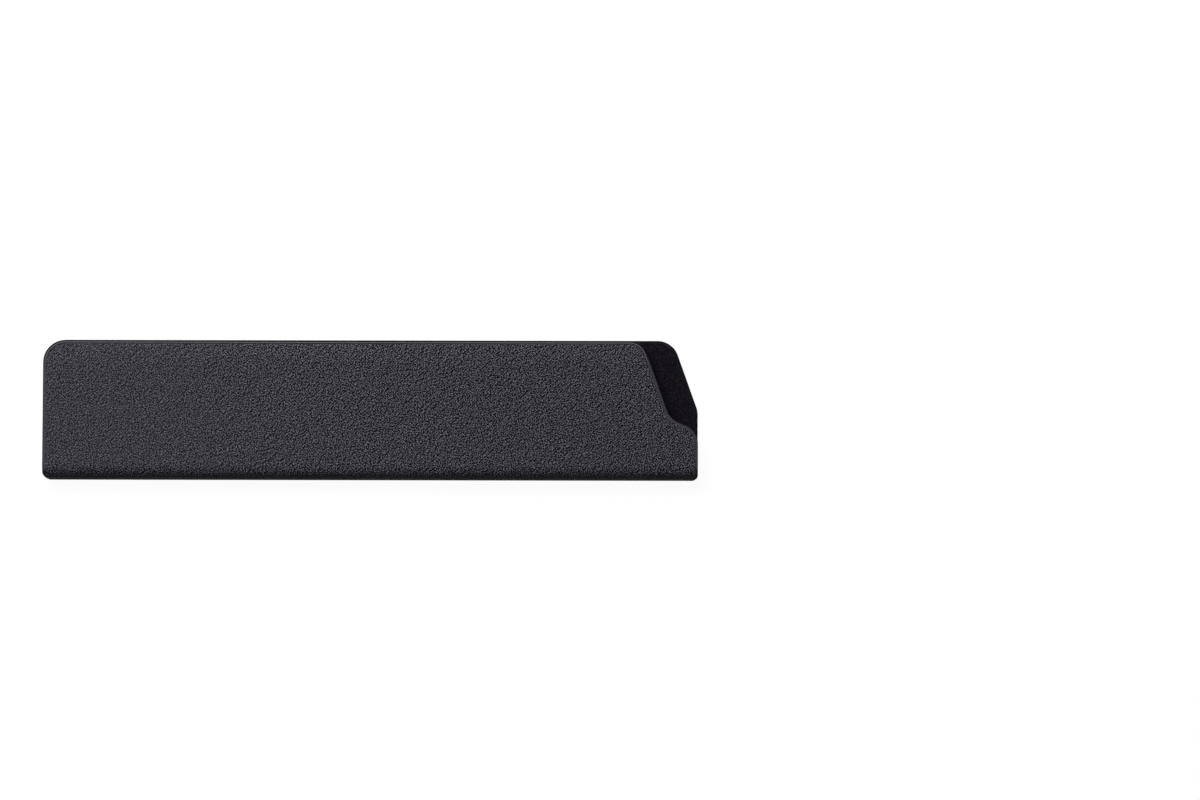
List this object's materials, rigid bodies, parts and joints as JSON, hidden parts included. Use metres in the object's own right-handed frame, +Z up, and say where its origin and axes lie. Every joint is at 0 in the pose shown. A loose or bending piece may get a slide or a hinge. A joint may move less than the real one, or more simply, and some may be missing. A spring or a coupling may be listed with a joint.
{
  "type": "knife blade guard",
  "caption": "Folded plastic knife blade guard lined with felt, with a round fold along the cutting edge, open ends and a notch that clears the knife's heel.",
  "frame": {"origin": "on the surface that the guard lies on, under the middle of its outline", "axes": "+X along the fold from the tip end to the heel end, +Y from the fold to the mouth, +Z up through the thickness, out of the front panel"},
  "size_m": [0.188, 0.0402, 0.0084],
  "materials": {
    "shell_plastic": "fine leather-like grain on the panels, smoother on the fold",
    "lining_felt": "dense black felt",
    "glue_film": "dried contact adhesive"
  },
  "bodies": {
    "rear_half": {"rear_panel": "shell_plastic", "rear_felt": "lining_felt", "rear_glue_film": "glue_film"},
    "front_half": {"front_panel": "shell_plastic", "front_felt": "lining_felt", "front_glue_film": "glue_film"}
  },
  "joints": [
    {"name": "fold_flex", "type": "hinge", "parent": "rear_half", "child": "front_half", "pos_m": [0, -0.0201, 0.0042], "axis": [1, 0, 0], "range_deg": [0, 15], "stiffness_Nm_per_rad": 0.9}
  ]
}
